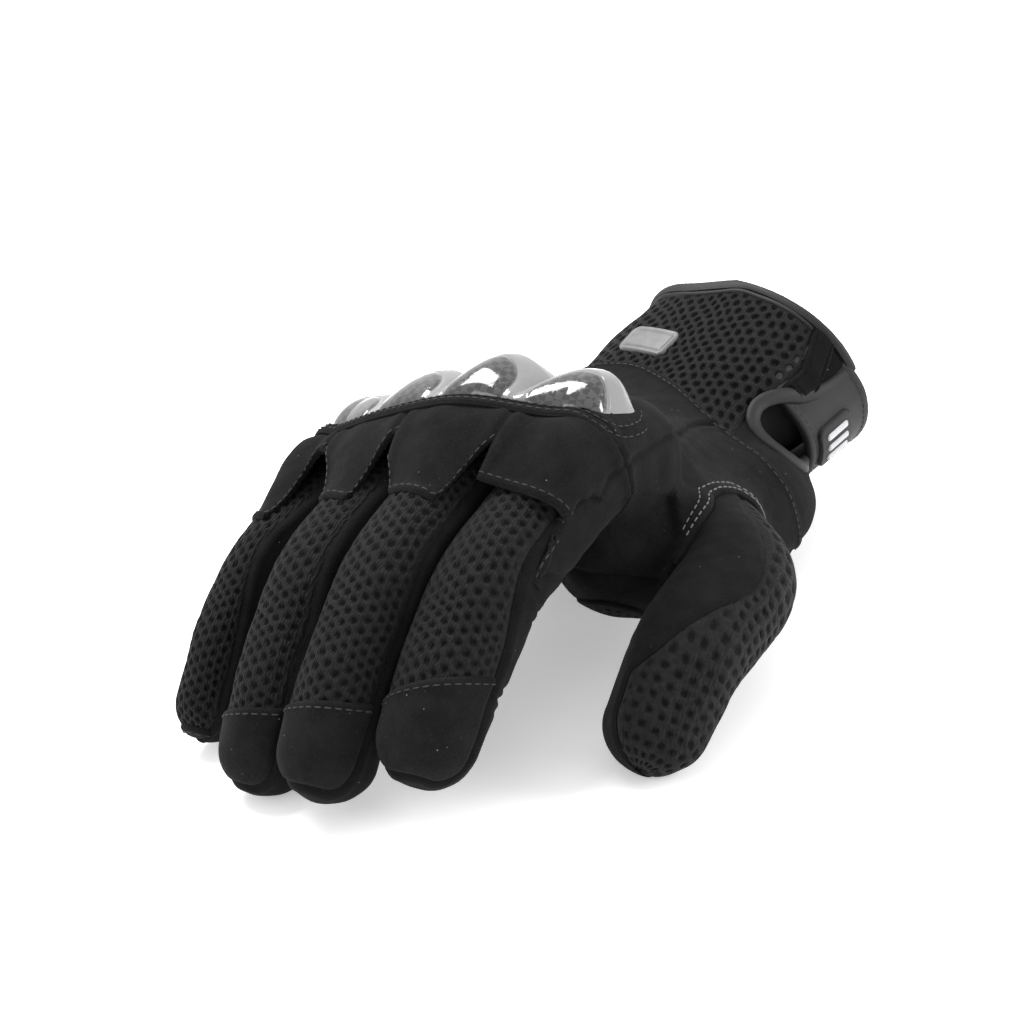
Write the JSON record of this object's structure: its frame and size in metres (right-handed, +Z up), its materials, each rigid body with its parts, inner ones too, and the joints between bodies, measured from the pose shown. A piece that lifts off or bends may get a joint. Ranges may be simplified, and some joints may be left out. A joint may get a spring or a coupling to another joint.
{
  "type": "motorcycle riding glove",
  "caption": "Right-hand short-cuff riding glove with a hard knuckle guard, air-mesh fingers, suede panels and a wrist strap, lying palm down.",
  "frame": {"origin": "middle of the glove's footprint, on the level surface it rests on", "axes": "+X towards the thumb side, +Y from the fingertips back to the cuff's open end, +Z up"},
  "size_m": [0.142, 0.2388, 0.0916],
  "materials": {
    "suede": "matte napped microfibre suede",
    "air_mesh": "open three-dimensional knitted mesh",
    "palm_leather": "matte fine-grained",
    "guard_shell": "gloss with a woven carbon look",
    "foam": "closed-cell foam",
    "binding": "smooth rolled edge tape",
    "rubber": "satin moulded tab",
    "hook_and_loop": "hook-and-loop",
    "lining": "knitted lining",
    "badge": "gloss moulded badge"
  },
  "bodies": {
    "hand": {"back_panel": "suede", "palm_panel": "palm_leather", "knuckle_guard": "guard_shell", "guard_frame": "suede", "guard_foam": "foam", "palm_reinforcement": "suede", "thumb_crotch_patch": "palm_leather", "palm_heel_pad": "suede"},
    "cuff": {"cuff_back_panel": "air_mesh", "cuff_palm_panel": "palm_leather", "cuff_hem": "binding", "cuff_lining": "lining", "slot_binding": "binding", "loop_patch": "hook_and_loop", "cuff_tab": "rubber"},
    "strap": {"wrist_strap": "suede", "strap_badge": "badge", "strap_hook_patch": "hook_and_loop"},
    "index_proximal": {"index_proximal_back": "air_mesh", "index_proximal_palm": "palm_leather"},
    "index_middle": {"index_middle_back": "air_mesh", "index_middle_palm": "palm_leather"},
    "index_tip": {"index_tip_cap": "suede", "index_tip_pad": "palm_leather"},
    "middle_proximal": {"middle_proximal_back": "air_mesh", "middle_proximal_palm": "palm_leather"},
    "middle_middle": {"middle_middle_back": "air_mesh", "middle_middle_palm": "palm_leather"},
    "middle_tip": {"middle_tip_cap": "suede", "middle_tip_pad": "palm_leather"},
    "ring_proximal": {"ring_proximal_back": "air_mesh", "ring_proximal_palm": "palm_leather"},
    "ring_middle": {"ring_middle_back": "air_mesh", "ring_middle_palm": "palm_leather"},
    "ring_tip": {"ring_tip_cap": "suede", "ring_tip_pad": "palm_leather"},
    "little_proximal": {"little_proximal_back": "air_mesh", "little_proximal_palm": "palm_leather"},
    "little_middle": {"little_middle_back": "air_mesh", "little_middle_palm": "palm_leather"},
    "little_tip": {"little_tip_cap": "suede", "little_tip_pad": "palm_leather"},
    "thumb_base": {"thumb_base_back": "air_mesh", "thumb_base_palm": "palm_leather"},
    "thumb_middle": {"thumb_middle_back": "air_mesh", "thumb_middle_palm": "palm_leather"},
    "thumb_tip": {"thumb_tip_cap": "air_mesh", "thumb_tip_pad": "palm_leather"}
  },
  "joints": [
    {"name": "index_knuckle", "type": "hinge", "parent": "hand", "child": "index_proximal", "pos_m": [0.02046, -0.02496, 0.0669], "axis": [0.9948, -0.0717, 0.0719], "range_deg": [-28, 35]},
    {"name": "index_middle_joint", "type": "hinge", "parent": "index_proximal", "child": "index_middle", "pos_m": [0.01873, -0.06567, 0.05029], "axis": [0.9948, -0.0717, 0.0719], "range_deg": [-15, 55]},
    {"name": "index_end_joint", "type": "hinge", "parent": "index_middle", "child": "index_tip", "pos_m": [0.0185, -0.08632, 0.0329], "axis": [0.9948, -0.0717, 0.0719], "range_deg": [-9, 33]},
    {"name": "middle_knuckle", "type": "hinge", "parent": "hand", "child": "middle_proximal", "pos_m": [-0.00415, -0.02891, 0.06932], "axis": [0.9963, -0.0558, 0.0649], "range_deg": [-28, 35]},
    {"name": "middle_middle_joint", "type": "hinge", "parent": "middle_proximal", "child": "middle_middle", "pos_m": [-0.00553, -0.07367, 0.05202], "axis": [0.9963, -0.0558, 0.0649], "range_deg": [-15, 55]},
    {"name": "middle_end_joint", "type": "hinge", "parent": "middle_middle", "child": "middle_tip", "pos_m": [-0.00547, -0.09594, 0.03192], "axis": [0.9963, -0.0558, 0.0649], "range_deg": [-9, 33]},
    {"name": "ring_knuckle", "type": "hinge", "parent": "hand", "child": "ring_proximal", "pos_m": [-0.02843, -0.03003, 0.06336], "axis": [0.9963, -0.0558, 0.0649], "range_deg": [-28, 35]},
    {"name": "ring_middle_joint", "type": "hinge", "parent": "ring_proximal", "child": "ring_middle", "pos_m": [-0.02993, -0.07489, 0.0478], "axis": [0.9963, -0.0558, 0.0649], "range_deg": [-15, 55]},
    {"name": "ring_end_joint", "type": "hinge", "parent": "ring_middle", "child": "ring_tip", "pos_m": [-0.0297, -0.09502, 0.02692], "axis": [0.9963, -0.0558, 0.0649], "range_deg": [-9, 33]},
    {"name": "little_knuckle", "type": "hinge", "parent": "hand", "child": "little_proximal", "pos_m": [-0.05259, -0.02923, 0.05436], "axis": [0.974, -0.1899, 0.1238], "range_deg": [-28, 35]},
    {"name": "little_middle_joint", "type": "hinge", "parent": "little_proximal", "child": "little_middle", "pos_m": [-0.0585, -0.06707, 0.04282], "axis": [0.974, -0.1899, 0.1238], "range_deg": [-15, 55]},
    {"name": "little_end_joint", "type": "hinge", "parent": "little_middle", "child": "little_tip", "pos_m": [-0.05967, -0.0838, 0.02636], "axis": [0.974, -0.1899, 0.1238], "range_deg": [-9, 33]},
    {"name": "thumb_swing", "type": "hinge", "parent": "hand", "child": "thumb_base", "pos_m": [0.01694, 0.02436, 0.02999], "axis": [-0.0367, 0.4067, 0.9128], "range_deg": [-10, 12]},
    {"name": "thumb_middle_joint", "type": "hinge", "parent": "thumb_base", "child": "thumb_middle", "pos_m": [0.05347, -0.0047, 0.02868], "axis": [0.7353, 0.156, -0.6596], "range_deg": [-12, 18]},
    {"name": "thumb_end_joint", "type": "hinge", "parent": "thumb_middle", "child": "thumb_tip", "pos_m": [0.05751, -0.03917, 0.02503], "axis": [0.6748, 0.4477, -0.5866], "range_deg": [-12, 25]},
    {"name": "wrist_bend", "type": "hinge", "parent": "hand", "child": "cuff", "pos_m": [-0.01506, 0.04985, 0.0294], "axis": [0.9992, 0, 0.0401], "range_deg": [-35, 18]},
    {"name": "strap_peel", "type": "hinge", "parent": "cuff", "child": "strap", "pos_m": [0.02812, 0.07932, 0.04652], "axis": [-0.3859, -0.8636, -0.3245], "range_deg": [0, 90]}
  ],
  "couplings": [
    {"joint": "index_end_joint", "follows": "index_middle_joint", "ratio": 0.6},
    {"joint": "middle_end_joint", "follows": "middle_middle_joint", "ratio": 0.6},
    {"joint": "ring_end_joint", "follows": "ring_middle_joint", "ratio": 0.6},
    {"joint": "little_end_joint", "follows": "little_middle_joint", "ratio": 0.6}
  ]
}
